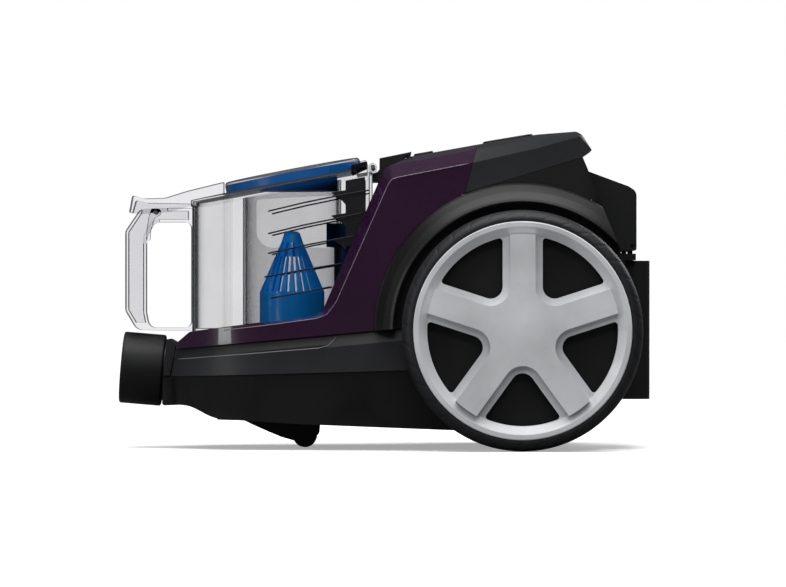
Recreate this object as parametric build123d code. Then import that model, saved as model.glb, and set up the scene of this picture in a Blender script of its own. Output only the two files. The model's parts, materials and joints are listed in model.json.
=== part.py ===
"""Bagless cylinder vacuum cleaner on two large wheels and a front caster.

Frame: +Z up, the floor at Z = 0, -X towards the hose inlet (front), +X towards the exhaust (rear).
The origin is on the floor under the centre of the machine. Sizes are in millimetres.
"""

from build123d import *
import math
import os

# ---------------------------------------------------------------- driving dimensions
# overall
overall_front = -203.7          # front face of the hose collar, at its lowest point
overall_rear = 203.7            # rear face of the bumper, on which the machine can be stood up
# casing
body_half = 103.0               # half width of the casing sides
bevel_width = 19.0              # width of the bevel along the casing's upper edges
shoulder_half = body_half - bevel_width
crown_half = 45.0               # half width of the flat middle of the top
casing_front = -165.0
casing_rear = 183.0
casing_wall = 2.5
seam_gap = 0.3                  # gap left between neighbouring covers
# wheels
wheel_radius = 90.6
wheel_x = 105.0
rim_radius = wheel_radius - 8.6
tyre_width = 26.0
axle_radius = 5.0
spoke_half = 15.0               # half width of a spoke between two windows
spoke_count = 5
window_outer = rim_radius - 10.5 # radius of the outer edge of the windows between the spokes
window_bevel = 5.5              # width of the step round each window
rim_proud = 2.0                 # how far the raised star stands in front of the tyre's side
running_gap = 0.05              # radial gap of a shaft in its bush
wheel_gap = 9.5                 # from the casing's side to the wheel's inner face
arch_clearance = 4.4            # from the tread to the arch over it
arch_width = 16.5               # radial width of the flared arch
arch_end_x = 160.0              # behind and below this point the flare stops
arch_end_z = 151.0
axle_boss_inner = 88.0
bush_radius = 8.0
# front caster
caster_x = -92.0                # swivel axis
caster_trail = 32.0             # roller axis behind the swivel axis
roller_radius = 9.3
roller_width = 16.0
caster_pocket = 46.8            # radius of the round pocket in which the caster turns
caster_pocket_top = 24.0        # roof of that pocket
caster_bush_radius = 7.0
# hose inlet
collar_radius = 27.5
collar_length = 32.5
hose_bore_radius = 20.0
hose_bore_depth = 24.0
inlet_tilt = 4.8                # the inlet points up by this many degrees
inlet_height = 61.8             # centre of the collar's mouth above the floor
neck_radius = 23.2              # fixed tube on which the collar turns
neck_inner = 18.0
nose_half = 31.0                # half width of the cradle under the neck
neck_end = 62.0                 # how far behind the collar's mouth the neck ends
# dust bucket
bucket_front = -146.0
bucket_rear = -8.0
bucket_half = 71.0
bucket_floor = 89.3             # underside of the bucket
lift_gap = 0.3                  # gap under the bucket as it stands in its well
well_gap = 3.5                  # gap round the bucket in its well
bucket_wall = 2.2
rim_height = 185.0              # top of the bucket wall at the bucket's front
rim_slope = 0.19                # rise of the bucket's rim for each millimetre towards the rear
cyclone_x = -70.0
cyclone_radius = 38.0
cone_radius = 25.0
cone_top = 166.5
lid_radius = 53.0
turret_x = -67.5                # centre of the raised ring on the lid
outlet_radius = 20.0            # hole in the bucket's floor under the cone
duct_radius = 13.5              # inlet duct under the bucket and riser in it
duct_wall = 1.5
riser_x = -24.6
riser_y = bucket_half - 19.0
filter_radius = 31.5
filter_low = 60.0
gasket_radius = 39.0
lid_thick = 4.7
lid_gap = 0.3                   # gap between the bucket's rim and the lid
hinge_x = -7.5
hinge_z = 215.5
hinge_pin = 1.5
trigger_x = -175.0
trigger_z = 181.0
handle_half = 13.0
trigger_half = 5.5
cap_low = 197.4                 # underside of the cyclone's cap
cone_foot = 119.5               # top of the cone's plain foot
slot_count = 24
long_slot_top = 158.0
short_slot_top = 147.0
riser_top = 173.0
inlet_low = 156.0               # the cyclone's inlet: height of its underside, its height and its width
inlet_rise = 15.5
inlet_width = 12.0
inlet_turn = 34.0               # direction of the inlet, seen from the cyclone's axis
slot_width = 2.4
# buttons
release_x = (24.0, 39.0)
release_width = 11.0
release_proud = 2.4
release_seat = 206.0            # height of the seat of the release button's spring
release_low = 216.0             # underside of the release button
button_seat = 217.0             # height of the seats of the two rear buttons' springs
button_low = 226.0              # underside of the two rear buttons
button_proud = 1.6
button_x = 96.0
button_y = 24.0
button_length = 38.0
button_width = 28.0
button_corner = 9.0
# rear
cover_x = 72.0                  # top of the seam in front of the rear top cover
cover_low = 197.0               # height of the foot of the same seam
cover_run = 9.0                 # how far that seam leans back over cover_rise
cover_rise = 35.0
exhaust_half = 70.0
door_rear = 193.0
door_hinge = (189.5, 154.5)
slot_x = 192.0                  # floor of the parking slot
bumper_half = 60.0
bumper_low = 38.0
bumper_high = 143.5
slot_half = 8.0                 # parking slot for the floor head's hook
cord_y = 40.0
cord_z = 100.0
cord_bore = 4.5
# motor
motor_x = (2.0, 78.0)
motor_z = 72.0
shaft_radius = 4.0
reel_x = 116.0
reel_z = 150.0
reel_radius = 42.0
reel_half = 34.0
spindle_radius = 6.0
board_z = 200.0
motor_radius = 46.0
motor_mount_x = (10.0, 60.0)
motor_mount_width = 8.0
mount_thick = 4.0
# small things
screw_radius = 1.8
screw_seat = 40.0               # height at which the casing screws' heads sit
pan_taper = 9.0
belt_chamfer = 3.0
crease_step = 0.7

out = {}


def side_face(points, y, radii=0.0):
    """A closed outline given as (x, z) points, at the given y."""
    corners = [(x, y, z) for x, z in points]
    if radii:
        return make_face(FilletPolyline(*corners, radius=radii, close=True))
    return make_face(Polyline(*corners, close=True))


def side_prism(points, y_low, y_high, radii=0.0):
    """A closed (x, z) outline carried from y_low to y_high."""
    return extrude(side_face(points, y_low, radii), amount=y_high - y_low, dir=(0, 1, 0))


def tube(radius, inner, y_low, y_high, x, z):
    """A ring, or a disc if inner is 0, whose axis runs along Y."""
    outline = Circle(radius) - Circle(inner) if inner else Circle(radius)
    return extrude(Plane((x, y_low, z), x_dir=(1, 0, 0), z_dir=(0, 1, 0)) * outline, amount=y_high - y_low)


def upright(radius, inner, z_low, z_high, x, y):
    """A ring, or a disc if inner is 0, whose axis runs along Z."""
    outline = Circle(radius) - Circle(inner) if inner else Circle(radius)
    return extrude(Plane((x, y, z_low)) * outline, amount=z_high - z_low)


def along_x(radius, inner, x_low, x_high, y, z):
    """A ring, or a disc if inner is 0, whose axis runs along X."""
    outline = Circle(radius) - Circle(inner) if inner else Circle(radius)
    return extrude(Plane((x_low, y, z), x_dir=(0, 1, 0), z_dir=(1, 0, 0)) * outline, amount=x_high - x_low)


def block(x_low, x_high, y_low, y_high, z_low, z_high):
    """A plain block between two corners."""
    centre = ((x_low + x_high) / 2, (y_low + y_high) / 2, (z_low + z_high) / 2)
    return Pos(*centre) * Box(x_high - x_low, y_high - y_low, z_high - z_low)


# ---------------------------------------------------------------- the casing's outline
def seam_low(x):
    """Height of the seam between the floor pan and the belt."""
    return 55.0 + 0.029 * (x + 163.0)


def seam_high(x):
    """Height of the seam between the belt and the upper casing."""
    return 76.0 + 0.0934 * (x + 158.0)


def plan_outline(inset=0.0):
    """The casing seen from above, rounded at the nose, taken in by inset."""
    half = [
        (casing_front, body_half * 0.5, 50.0),
        (casing_front + 47.0, body_half * 0.893, 110.0),
        (casing_front + 145.0, body_half, 400.0),
        (casing_rear - 23.0, body_half, 25.0),
        (casing_rear, shoulder_half, 12.0),
    ]
    corners = [(x, y) for x, y, r in half] + [(x, -y) for x, y, r in reversed(half)]
    radii = [r for x, y, r in half] + [r for x, y, r in reversed(half)]
    face = make_face(FilletPolyline(*corners, radius=radii, close=True))
    return offset(face, -inset) if inset else face


def plan_prism(z_low, z_high, inset=0.0):
    return extrude(Plane((0, 0, z_low)) * plan_outline(inset), amount=z_high - z_low)


def between(low, high, x_low=-260.0, x_high=260.0):
    """Everything between two seams, as a wide prism."""
    points = [(x_low, low(x_low)), (x_high, low(x_high)), (x_high, high(x_high)), (x_low, high(x_low))]
    return side_prism(points, -200, 200)



SIDE = [
    (-157.5, 60.0, 0), (-157.5, 79.5, 2), (-147.3, 87.2, 3), (-39.8, 100.3, 18),
    (6.2, 205.0, 4), (70.0, 217.5, 30),
    (118.0, 228.5, 60), (149.0, 237.0, 3), (157.5, 227.5, 1), (151.0, 221.5, 1), (155.0, 212.0, 3),
    (181.0, 146.0, 3), (182.9, 60.0, 0),
]
SHOULDER = [
    (-157.5, 60.0, 0), (-157.5, 80.5, 2), (-147.0, 89.3, 4), (-46.9, 102.2, 14),
    (2.0, 214.5, 8), (70.0, 227.5, 30),
    (118.0, 236.0, 60), (150.0, 240.5, 5), (158.7, 227.0, 1), (151.0, 221.5, 1), (155.0, 212.0, 3),
    (181.0, 146.0, 3), (182.9, 60.0, 0),
]
CROWN = [
    (-157.5, 60.0, 0), (-157.5, 80.5, 2), (-147.0, 89.3, 4), (-30.0, 104.5, 14),
    (19.0, 222.8, 3), (72.0, 232.3, 30),
    (118.0, 240.0, 60), (150.0, 242.5, 6), (159.3, 227.0, 1), (151.0, 221.5, 1), (155.0, 212.0, 3),
    (181.0, 146.0, 3), (182.9, 60.0, 0),
]


def inset_outline(rows, inset):
    """The same (x, z, radius) outline taken in by inset all round, with its corners kept in order."""
    count = len(rows)
    moved = []
    for i, (x, z, r) in enumerate(rows):
        before, after = rows[i - 1], rows[(i + 1) % count]
        d1 = Vector(x - before[0], z - before[1]).normalized()
        d2 = Vector(after[0] - x, after[1] - z).normalized()
        n1, n2 = Vector(d1.Y, -d1.X), Vector(d2.Y, -d2.X)     # the outline runs clockwise seen from -Y
        bisector = (n1 + n2).normalized()
        reach = inset / bisector.dot(n1)
        turns_in = d1.X * d2.Y - d1.Y * d2.X > 0              # a hollow corner
        radius = r + inset if turns_in else max(r - inset, 0.4)
        moved.append((x + bisector.X * reach, z + bisector.Y * reach, radius if r else 0))
    return moved


def level_face(rows, y, inset=0.0):
    rows = inset_outline(rows, inset) if inset else rows
    return side_face([(x, z) for x, z, r in rows], y, [r for x, z, r in rows])


def upper_envelope(inset=0.0):
    """The closed outer form of the upper casing: sides, shoulder bevels and a crowned top."""
    levels = [(SIDE, body_half - inset), (SHOULDER, shoulder_half - inset / 2), (CROWN, crown_half)]
    form = extrude(level_face(CROWN, -crown_half, inset), amount=2 * crown_half, dir=(0, 1, 0))
    for (outer_rows, y_out), (inner_rows, y_in) in zip(levels, levels[1:]):
        for side in (-1, 1):
            faces = [level_face(outer_rows, side * y_out, inset), level_face(inner_rows, side * y_in, inset)]
            form += loft(faces, ruled=True)
    return form & plan_prism(40, 260, inset)



# ---------------------------------------------------------------- places worked out from the driving sizes
axle_z = wheel_radius
wheel_inner = body_half + wheel_gap
arch_inner = wheel_radius + arch_clearance
arch_outer = arch_inner + arch_width
tray_top = bucket_floor - lift_gap
well_rear = bucket_rear + well_gap
well_front = bucket_front - seam_gap * 3
tilt = math.radians(inlet_tilt)
inlet_dir = Vector(math.cos(tilt), 0, -math.sin(tilt))      # from the collar's mouth into the machine
collar_mouth = Vector(overall_front + collar_radius * math.sin(tilt), 0, inlet_height)


def inlet_tube(radius, inner, start, end):
    """A ring on the inlet's tilted axis, from start to end behind the collar's mouth."""
    outline = Circle(radius) - Circle(inner) if inner else Circle(radius)
    plane = Plane(collar_mouth + inlet_dir * start, x_dir=(0, 1, 0), z_dir=inlet_dir)
    return extrude(plane * outline, amount=end - start)


def inlet_point(s):
    return collar_mouth + inlet_dir * s


def rim_z(x):
    """Height of the bucket's sloping rim."""
    return rim_height + rim_slope * (x - bucket_front)


def slab(thick_from, thick_to, x_low=-260.0, x_high=60.0):
    """The space between two planes parallel to the bucket's rim, measured up from it."""
    points = [
        (x_low, rim_z(x_low) + thick_from), (x_high, rim_z(x_high) + thick_from),
        (x_high, rim_z(x_high) + thick_to), (x_low, rim_z(x_low) + thick_to),
    ]
    return side_prism(points, -120, 120)


def mirror_y(shape):
    return mirror(shape, Plane.XZ)


def pair(name, shape):
    """The same piece on both sides; right is the side at -Y."""
    out[name + "_right"] = mirror_y(shape)
    out[name + "_left"] = shape


def bucket_plan(inset=0.0):
    half = [
        (bucket_front, bucket_half * 0.62, 24.0), (bucket_front + 24.0, bucket_half - 5.0, 16.0),
        (bucket_front + 27.0, bucket_half, 2.4), (bucket_rear, bucket_half, 9.0),
    ]
    corners = [(x, y) for x, y, r in half] + [(x, -y) for x, y, r in reversed(half)]
    radii = [r for x, y, r in half] + [r for x, y, r in reversed(half)]
    face = make_face(FilletPolyline(*corners, radius=radii, close=True))
    return offset(face, -inset) if inset else face


def bucket_prism(z_low, z_high, inset=0.0):
    return extrude(Plane((0, 0, z_low)) * bucket_plan(inset), amount=z_high - z_low)


# ---------------------------------------------------------------- casing
outer_form = upper_envelope()
inner_form = upper_envelope(casing_wall)
upper_shell = outer_form - inner_form

def cover_seam_x(z):
    """Front edge of the rear top cover at the given height."""
    return cover_x + (z - cover_low - cover_rise) * cover_run / cover_rise


def ahead_of_cover(gap):
    """Everything in front of the seam between the upper casing and the rear top cover."""
    low, high = -50.0, 300.0
    points = [(-300, low), (cover_seam_x(low) - gap, low), (cover_seam_x(high) - gap, high), (-300, high)]
    return side_prism(points, -200, 200)


def rear_edge_x(z):
    """Rear edge of the housing's sides at the given height."""
    (x1, z1, r1), (x2, z2, r2) = SIDE[10], SIDE[11]
    return x1 + (x2 - x1) * (z - z1) / (z2 - z1)


def above_arch_line(rise):
    """Everything above the lower edge of the rear top cover."""
    points = [(cover_x - 20, cover_low - 5.6 + rise), (151.0, 221.5 + rise), (260.0, 251.8 + rise),
              (260.0, 300.0), (cover_x - 20, 300.0)]
    return side_prism(points, -200, 200)


def arch_disc(radius):
    return tube(radius, 0, -200, 200, wheel_x, axle_z)


def floor_pan_form(inset=0.0):
    """The tapered lower tub: its plan narrows downwards and its underside follows the side profile."""
    rows = [
        (casing_front - 1.5, 130.0, 0), (casing_front - 1.5, 34.0, 2), (-147.0, 33.0, 25), (-128.0, 23.5, 30),
        (-60.0, 19.5, 200), (60.0, 14.8, 200), (130.0, 14.8, 60), (171.0, 31.0, 15), (casing_rear, 38.5, 3),
        (casing_rear, 130.0, 0),
    ]
    if inset:
        # the tub stays open at the top, so only its sides and underside are taken in
        rows = [(x, z, r) for x, z, r in inset_outline(list(reversed(rows)), inset)]
        rows = [(x, 140.0 if z > 110 else z, r) for x, z, r in rows]
    profile = side_face([(x, z) for x, z, r in rows], -200, [r for x, z, r in rows])
    plan = Plane((0, 0, 70)) * plan_outline(inset + 0.4)
    return extrude(plan, amount=-60, taper=pan_taper) & extrude(profile, amount=400, dir=(0, 1, 0))


def belt_form(inset=0.0):
    return plan_prism(40, 130, inset)


def screw(x, y, z_low, length):
    """A pan-head self-tapping screw, driven upwards."""
    return upright(3.4, 1.3, z_low, z_low + 0.9, x, y) + upright(3.4, 0, z_low + 0.9, z_low + 2.2, x, y) \
        + upright(screw_radius, 0, z_low + 2.2, z_low + length, x, y)


screw_places = [(x, side * y) for x, y in ((-124.0, 66.0), (-8.0, 84.0), (164.0, 72.0)) for side in (-1, 1)]


def floor_pan():
    pan = (floor_pan_form() - floor_pan_form(casing_wall)) & between(lambda x: -50, seam_low)
    # round pocket in which the caster swings
    pocket = upright(caster_pocket, 0, 0, caster_pocket_top, caster_x, 0)
    roof = upright(caster_pocket + 2, 0, 0, caster_pocket_top + 2, caster_x, 0) & floor_pan_form()
    pan += roof
    pan -= pocket
    # cradle under the inlet neck
    pan += side_prism([
        (-169.3, 32.6), (-168.0, seam_low(-168.0)), (-148.0, seam_low(-148.0)), (-148.0, 33.4),
    ], -nose_half, nose_half, [2, 0, 0, 0])
    pan += upright(9, 0, caster_pocket_top, caster_pocket_top + 18, caster_x, 0)
    pan -= upright(caster_bush_radius, 0, caster_pocket_top - 5, caster_pocket_top + 16, caster_x, 0)
    # cradles for the motor's rubber rings
    for x in motor_mount_x:
        rib = block(x + 1, x + motor_mount_width - 1, -motor_radius - 8, motor_radius + 8, 10, 56)
        cradle = along_x(motor_radius + mount_thick, 0, x - 20, x + 40, 0, motor_z)
        pan += (rib & floor_pan_form(casing_wall / 2)) - cradle
    # screw posts
    for x, y in screw_places:
        pan += (upright(6, 0, 5, 54, x, y) & floor_pan_form(casing_wall / 2))
    for x, y in screw_places:
        pan -= upright(4.2, 0, 0, screw_seat, x, y)
        pan -= upright(screw_radius, 0, 0, screw_seat + 40, x, y)
    return pan - inlet_tube(neck_radius + 0.4, 0, 10, 80)


def belt():
    shell = belt_form() - belt_form(casing_wall)
    zone = between(lambda x: seam_low(x) + seam_gap, seam_high, -300, 300)
    front_cut = side_prism([(-163.0, 50.0), (-157.0, 77.0), (260, 117.0), (260, 50.0)], -200, 200)
    solid = belt_form() & zone & front_cut
    top = solid.faces().sort_by(Axis.Z)[-1]
    rims = [e for e in top.edges() if e.center().X > -156.0 and e.center().X < casing_rear - 2]
    solid = chamfer(rims, length=3.0, length2=9.0, reference=top)
    ring = solid - belt_form(belt_chamfer + casing_wall)
    # the field above the crease line stands back a little
    crease = side_prism([
        (-300, 56.8), (-45.0, 77.0), (-38.5, 80.0), (-34.0, 87.6), (-34.0, 130), (-300, 130),
    ], -200, 200, [0, 6, 6, 0, 0, 0])
    ring -= (belt_form(-5) - belt_form(crease_step)) & crease
    # bearing bosses of the two stub axles
    for side in (-1, 1):
        y_in, y_out = sorted((side * axle_boss_inner, side * (body_half - 1.0)))
        ring += tube(axle_radius + 7.0, 0, y_in, y_out, wheel_x, axle_z)
        ring -= tube(bush_radius, 0, -200 if side < 0 else 0, 0 if side < 0 else 200, wheel_x, axle_z)
    for x, y in screw_places:
        foot = seam_low(x) + 2.0
        post = upright(6, 0, foot, foot + 16, x, y) & belt_form(0.5)
        web = block(x - 2, x + 2, min(y, y * 1.6), max(y, y * 1.6), foot + 2, foot + 14) & belt_form(0.5)
        ring += post + web
        ring -= upright(screw_radius, 0, 50, screw_seat + 40, x, y)
    return ring - inlet_tube(neck_radius + 0.4, 0, 10, 80)


def upper_casing():
    """Gloss shell: sill and arms round the bucket, the sides and the deck."""
    zone = between(lambda x: seam_high(x) + seam_gap, lambda x: 300) & ahead_of_cover(seam_gap / 2)
    shell = upper_shell & zone
    shell -= arch_disc(arch_outer + seam_gap)
    shell -= bucket_prism(40, 300, -well_gap - 2.3) & block(well_front, well_rear, -200, 200, 40, 300)
    shell -= release_slot(seam_gap)
    shell -= inlet_tube(neck_radius + 0.4, 0, 10, 80)
    # bracket under the deck that carries the spring of the release button
    low = release_seat
    x1, x2 = release_x[0] - 2, release_x[1] + 2
    for side in (-1, 1):
        y1, y2 = sorted((side * (release_width / 2 + 1.5), side * (release_width / 2 + 3.5)))
        shell += block(x1, x2, y1, y2, low - 2, 240) & inner_form
    shell += block(x1, x2, -release_width / 2 - 3.5, release_width / 2 + 3.5, low - 2, low)
    return shell


def crown_z(x, first):
    """Height of the flat middle of the top, between two neighbouring points of its outline."""
    (x1, z1, r1), (x2, z2, r2) = CROWN[first], CROWN[first + 1]
    return z1 + (z2 - z1) * (x - x1) / (x2 - x1)


def deck_z(x):
    return crown_z(x, 4)


def cover_z(x):
    return crown_z(x, 5)


def release_slot(gap, z_low=190.0, z_high=260.0):
    centre = ((release_x[0] + release_x[1]) / 2, 0)
    outline = SlotOverall(release_x[1] - release_x[0] + 2 * gap, release_width + 2 * gap)
    return extrude(Plane((*centre, z_low)) * outline, amount=z_high - z_low)


def button_prism(side, gap, z_low, z_high):
    outline = RectangleRounded(button_length + 2 * gap, button_width + 2 * gap, button_corner + gap)
    return extrude(Plane((button_x, side * button_y, z_low)) * outline, amount=z_high - z_low)


def rear_top_cover():
    zone = above_arch_line(0) - ahead_of_cover(-seam_gap / 2)
    cover = upper_shell & zone
    for side in (-1, 1):
        cover -= button_prism(side, seam_gap, 190, 300)
    # bridge under the two buttons that carries their springs
    x1, x2 = button_x - 8, button_x + 8
    reach = button_y + button_width / 2 + 3.5
    cover += block(x1, x2, -reach, reach, button_seat - 2, button_seat)
    for y in (-reach, -1.0, reach - 2.0):
        cover += block(x1, x2, y, y + 2.0, button_seat - 2, 260) & inner_form
    return cover


def rear_housing():
    """Black inner body behind the deck: its sides carry on the casing below the top cover."""
    zone = between(lambda x: seam_high(x) + seam_gap, lambda x: 300)
    shell = (upper_shell & zone) - above_arch_line(-seam_gap) - ahead_of_cover(-seam_gap / 2)
    shell -= block(-300, cover_x, -200, 200, 150, 300)
    shell -= arch_disc(arch_outer + seam_gap) - block(-300, 300, -body_half + 4, body_half - 4, -10, 300)
    shell -= block(150, 200, -exhaust_half + 10, exhaust_half - 10, 158, 200)    # exhaust port
    # ledge that carries the hinge of the exhaust door
    ledge = block(rear_edge_x(146) - 2, door_rear - 0.5, -exhaust_half, exhaust_half, bumper_high + 0.3, 148.8)
    return shell + ledge


def wheel_arch():
    """The flared ring over a wheel, with the disc that closes the side of the casing behind it."""
    back = body_half - casing_wall
    face = body_half + seam_gap / 2
    hub = axle_radius + 7.5
    flare = [
        (arch_outer, back), (arch_outer, face), (arch_outer - 1.5, face + 2.5),
        (arch_outer - 7.0, face + 8.5), (arch_outer - 12.0, face + 12.6), (arch_inner + 2.2, face + 13.9),
        (arch_inner, face + 12.0), (arch_inner, face),
        (hub, face), (hub, back),
    ]
    hollow = [
        (arch_outer - 3.0, back - 1), (arch_outer - 3.2, face + 0.5), (arch_outer - 9.0, face + 6.0),
        (arch_inner + 2.6, face + 10.2), (arch_inner + 2.6, back - 1),
    ]

    def turned(points, radii):
        corners = [(wheel_x + r, y, axle_z) for r, y in points]
        outline = make_face(FilletPolyline(*corners, radius=radii, close=True))
        return revolve(outline, axis=Axis((wheel_x, 0, axle_z), (0, 1, 0)), revolution_arc=360)

    ring = turned(flare, [0, 0, 2, 8, 4, 0.8, 0.8, 0, 0, 0]) - turned(hollow, [0, 1, 1.5, 1, 0])
    low, high = -50.0, 300.0
    ring -= side_prism([(rear_edge_x(low), low), (400, low), (400, high), (rear_edge_x(high), high)], -200, 200)
    ring -= block(arch_end_x, 400, face, 200, low, arch_end_z)      # the flare ends above the bumper
    return ring - between(lambda x: -200, lambda x: seam_high(x) + seam_gap)


def bucket_well():
    """Black tub behind the gloss arms in which the dust bucket stands."""
    reach = block(well_front + seam_gap, well_rear - seam_gap, -200, 200, 40, 300)
    plate = bucket_prism(tray_top - 3, tray_top, -well_gap - 2.0) & reach
    walls = bucket_prism(tray_top - 1, 230, -well_gap - 2.0) & reach
    walls -= bucket_prism(tray_top - 1, 230, -well_gap) \
        & block(-300, well_rear - seam_gap - 2.0, -200, 200, 40, 300)
    walls &= extrude(level_face(SHOULDER, -200, 1.2), amount=400, dir=(0, 1, 0))
    well = plate + walls
    well &= plan_prism(40, 300, casing_wall + seam_gap)
    # cup for the motor filter, with a grid under it
    well += upright(filter_radius + 3, filter_radius + 0.8, filter_low - 2, tray_top, cyclone_x, 0)
    for turn in (0, 45, 90, 135):
        bar = Pos(cyclone_x, 0, filter_low - 1) * Rot(0, 0, turn) * Box(2 * filter_radius + 2, 3, 2)
        well += bar
    well -= upright(filter_radius + 0.8, 0, filter_low, 120, cyclone_x, 0)
    well -= upright(gasket_radius, gasket_radius - 4, tray_top - 1.5, 120, cyclone_x, 0)
    well -= upright(duct_radius + 0.8, 0, 50, 120, riser_x, riser_y)
    return well


def rear_bumper():
    """Stand-up plate on the rear, hollow, with the parking slot for the floor head."""
    x1, x2 = casing_rear + 0.5, overall_rear

    def rounded(inset):
        y = bumper_half - inset
        root = x1 - 5 if inset else x1
        corners = [(root, -y), (x2 - inset, -y), (x2 - inset, y), (root, y)]
        return FilletPolyline(*corners, radius=[0, 9 - inset, 9 - inset, 0], close=True)

    outer = extrude(Plane((0, 0, bumper_low)) * make_face(rounded(0)), amount=bumper_high - bumper_low)
    floor = Plane((0, 0, bumper_low + 2.5))
    hollow = extrude(floor * make_face(rounded(2.5)), amount=bumper_high - bumper_low - 5)
    pocket = block(x1, x2, -slot_half - 8.5, slot_half + 8.5, 60, bumper_high)
    plate = outer - (hollow - pocket)
    plate -= block(slot_x, x2 - 4, -slot_half - 6, slot_half + 6, 62, bumper_high + 1)
    plate -= block(slot_x, x2 + 1, -slot_half, slot_half, 62, bumper_high + 1)
    plate += along_x(cord_bore + 5, 0, x1, x2 - 1, cord_y, cord_z)
    plate -= along_x(cord_bore + 2.5, 0, x1 - 1, x2 + 1, cord_y, cord_z)
    plate -= along_x(cord_bore + 4.0, 0, x2 - 2, x2 + 1, cord_y, cord_z)
    return plate


def cord_outlet():
    """Bush that the mains cord would run out of."""
    bush = along_x(cord_bore + 2.4, cord_bore, casing_rear + 0.5, overall_rear - 0.3, cord_y, cord_z)
    return bush + along_x(cord_bore + 3.8, cord_bore, overall_rear - 1.9, overall_rear - 0.3, cord_y, cord_z)


out["floor_pan"] = floor_pan()
out["belt"] = belt()
out["upper_casing"] = upper_casing()
out["rear_top_cover"] = rear_top_cover()
out["rear_housing"] = rear_housing()
pair("wheel_arch", wheel_arch())
out["bucket_well"] = bucket_well()
out["rear_bumper"] = rear_bumper()
out["cord_outlet"] = cord_outlet()
screws = [screw(x, y, screw_seat - 2.2, 26) for x, y in screw_places]
out["casing_screws"] = Compound(children=[s.solid() for s in screws])


# ---------------------------------------------------------------- hose inlet
def inlet_collar():
    """The turning ring that the hose plugs into."""
    ring = inlet_tube(collar_radius, hose_bore_radius, 0, hose_bore_depth + 0.5)
    ring += inlet_tube(collar_radius, neck_radius + running_gap, hose_bore_depth + 0.5, collar_length)
    edges = ring.edges().filter_by(lambda e: abs(e.length - 2 * math.pi * collar_radius) < 0.5)
    return chamfer(edges, 1.0)


def inlet_neck():
    """Fixed tube that carries the collar, with the plate on the machine's nose."""
    neck = inlet_tube(neck_radius, neck_inner, hose_bore_depth + 1.0, neck_end)
    neck += inlet_tube(neck_radius - 1, duct_radius - duct_wall, neck_end - 6, neck_end)
    plate = side_prism([
        (-168.1, 55.6), (-165.4, 83.4), (-163.5, 83.4), (-158.4, 80.5), (-163.3, 55.6),
    ], -nose_half - 2, nose_half + 2)
    neck += plate - inlet_tube(neck_radius - 1, 0, 10, 90)
    return neck


def inlet_duct():
    """Hose of smooth bends from the neck to the opening under the bucket's riser."""
    start = inlet_point(neck_end)
    corners = [
        start, start + inlet_dir * 11.6, Vector(-106, riser_y, 57), Vector(riser_x, riser_y + 0.4, 57),
        Vector(riser_x, riser_y + 0.4, tray_top - 0.1),
    ]
    path = FilletPolyline(*corners, radius=[16, 16, 16])
    start_plane = Plane(start, x_dir=(0, 1, 0), z_dir=inlet_dir)
    outer = sweep(start_plane * Circle(duct_radius), path=path)
    inner = sweep(start_plane * Circle(duct_radius - duct_wall), path=path)
    return outer - inner


out["inlet_collar"] = inlet_collar()
out["inlet_neck"] = inlet_neck()
out["inlet_duct"] = inlet_duct()


# ---------------------------------------------------------------- wheels
def window_outline(grow=0.0):
    """One opening between two spokes, drawn round the +Z direction; grow widens it."""
    half_turn = 180.0 / spoke_count
    near = (spoke_half - grow) / math.sin(math.radians(half_turn))
    far = window_outer + grow
    # where the spoke's edge, parallel to the spoke's axis, meets the outer arc
    edge = spoke_half - grow
    swing = math.radians(half_turn) - math.asin(edge / far)
    corner = (far * math.sin(swing), far * math.cos(swing))
    sides = make_face(Polyline((0, near), corner, (0, far * 1.3), (-corner[0], corner[1]), close=True))
    shape = sides & Circle(far)
    shape = fillet([shape.vertices().sort_by(Axis.Y)[0]], 9.0 + grow)
    return fillet([v for v in shape.vertices() if abs(v.Y - corner[1]) < 1.0], 2.5 + grow / 2)


def wheel_plane(y, turn=0.0):
    """A plane across the wheel's axis at y, whose own Y axis points up and turns with the spokes."""
    return Plane((wheel_x, y, axle_z), x_dir=(-1, 0, 0), z_dir=(0, 1, 0)) * Rot(0, 0, turn)


def rim_turned(points, radii):
    corners = [(wheel_x + r, wheel_inner + y, axle_z) for r, y in points]
    face = make_face(FilletPolyline(*corners, radius=radii, close=True))
    return revolve(face, axis=Axis((wheel_x, 0, axle_z), (0, 1, 0)), revolution_arc=360)


def wheel_rim():
    """Five-spoke rim: barrel, outer lip, hollow ring and star-shaped raised face."""
    w = tyre_width
    barrel = rim_turned([
        (rim_radius - 1, 1.5), (rim_radius - 1, w - 2), (rim_radius, w - 1.4), (rim_radius, w + 0.4),
        (rim_radius - 4, w + 0.4), (window_outer, w - 4.0), (0, w - 4.0), (0, w - 10.0),
        (window_outer + 1, w - 10.0), (rim_radius - 4, w - 12.0), (rim_radius - 4, 1.5),
    ], [0.5, 0.3, 0.8, 0.8, 1.0, 2.0, 0, 0, 2.0, 2.0, 0.5])
    star = extrude(wheel_plane(wheel_inner + w - 4.2) * Circle(window_outer + 1.0), amount=rim_proud + 4.2)
    for i in range(spoke_count):
        turn = (i + 0.5) * 360.0 / spoke_count
        star -= extrude(wheel_plane(wheel_inner + w - 4.2, turn) * window_outline(window_bevel), amount=20)
    rim = barrel + star
    for i in range(spoke_count):
        turn = (i + 0.5) * 360.0 / spoke_count
        rim -= extrude(wheel_plane(wheel_inner + w - 14.0, turn) * window_outline(), amount=30)
    rim += tube(axle_radius + 6, 0, wheel_inner + 1, wheel_inner + w - 9, wheel_x, axle_z)
    return rim - tube(axle_radius + 0.02, 0, 0, wheel_inner + w - 8, wheel_x, axle_z)


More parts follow.
